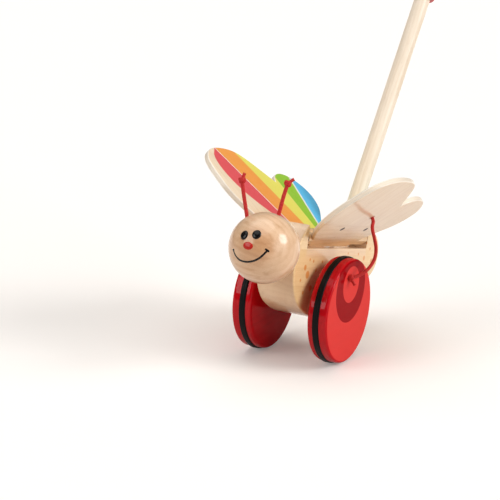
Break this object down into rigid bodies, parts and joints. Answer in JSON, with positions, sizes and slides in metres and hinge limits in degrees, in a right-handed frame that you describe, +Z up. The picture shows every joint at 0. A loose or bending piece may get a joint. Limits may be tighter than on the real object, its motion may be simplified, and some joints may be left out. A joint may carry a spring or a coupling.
{
  "type": "push-along butterfly toy",
  "caption": "Wooden push-along butterfly on a turning axle, with striped wings that cords from the wheels flap, a round head with cord antennae, and a long stick with a grip.",
  "frame": {"origin": "point on the floor directly under the middle of the axle", "axes": "+Z up, the toy faces -Y and is pushed towards -Y, +X along the axle to the toy's left-hand wheel as it rolls, which is the right-hand one seen from the front"},
  "size_m": [0.1528, 0.4846, 0.4812],
  "materials": {
    "beech": "sanded and clear lacquered, yellow-orange tint with orange dots printed on the sides",
    "beech_head": "turned, clear lacquered, painted face",
    "birch_dowel": "plain sanded dowel",
    "birch_stick": "clear lacquered round rod",
    "wing_plywood": "pale lacquered wood, striped in colours on the upper face",
    "hinge_wood": "pale lacquered hardwood",
    "red_lacquer": "wood under glossy red lacquer with tone-on-tone circles",
    "red_sleeve": "glossy red lacquer",
    "red_grip": "glossy red lacquer",
    "black_rubber": "matt moulded ring",
    "red_cord": "braided cord",
    "steel": "drawn pin",
    "dark_steel": "browned slotted countersunk screws"
  },
  "bodies": {
    "toy": {"body_block": "beech", "connector_sleeve": "red_sleeve", "grip": "red_grip", "head_ball": "beech_head", "head_dowel": "birch_dowel", "hinge_pin_plugs": "birch_dowel", "left_antenna_cord": "red_cord", "left_antenna_knot": "red_cord", "left_hinge_pin": "steel", "lower_rod": "birch_stick", "right_antenna_cord": "red_cord", "right_antenna_knot": "red_cord", "right_hinge_pin": "steel", "upper_rod": "birch_stick"},
    "wheelset": {"axle": "birch_dowel", "right_wheel": "red_lacquer", "right_tyre": "black_rubber", "right_axle_spacer": "birch_dowel", "right_wheel_knot": "red_cord", "left_wheel": "red_lacquer", "left_tyre": "black_rubber", "left_axle_spacer": "birch_dowel", "left_wheel_knot": "red_cord"},
    "right_wing": {"right_wing_plate": "wing_plywood", "right_hinge_bar": "hinge_wood", "right_wing_screws": "dark_steel", "right_flap_cord": "red_cord", "right_wing_knot": "red_cord"},
    "left_wing": {"left_wing_plate": "wing_plywood", "left_hinge_bar": "hinge_wood", "left_wing_screws": "dark_steel", "left_flap_cord": "red_cord", "left_wing_knot": "red_cord"}
  },
  "joints": [
    {"name": "axle_spin", "type": "hinge", "parent": "toy", "child": "wheelset", "pos_m": [0, 0, 0.0391], "axis": [1, 0, 0], "continuous": true},
    {"name": "right_wing_flap", "type": "hinge", "parent": "toy", "child": "right_wing", "pos_m": [0.011, 0.00915, 0.08724], "axis": [0, -0.9681, 0.2504], "range_deg": [-45, 8], "deforming": ["right_flap_cord"]},
    {"name": "left_wing_flap", "type": "hinge", "parent": "toy", "child": "left_wing", "pos_m": [-0.011, 0.00915, 0.08724], "axis": [0, 0.9681, -0.2504], "range_deg": [-45, 8], "deforming": ["left_flap_cord"]}
  ],
  "couplings": [
    {"joint": "left_wing_flap", "follows": "right_wing_flap", "ratio": 1}
  ]
}
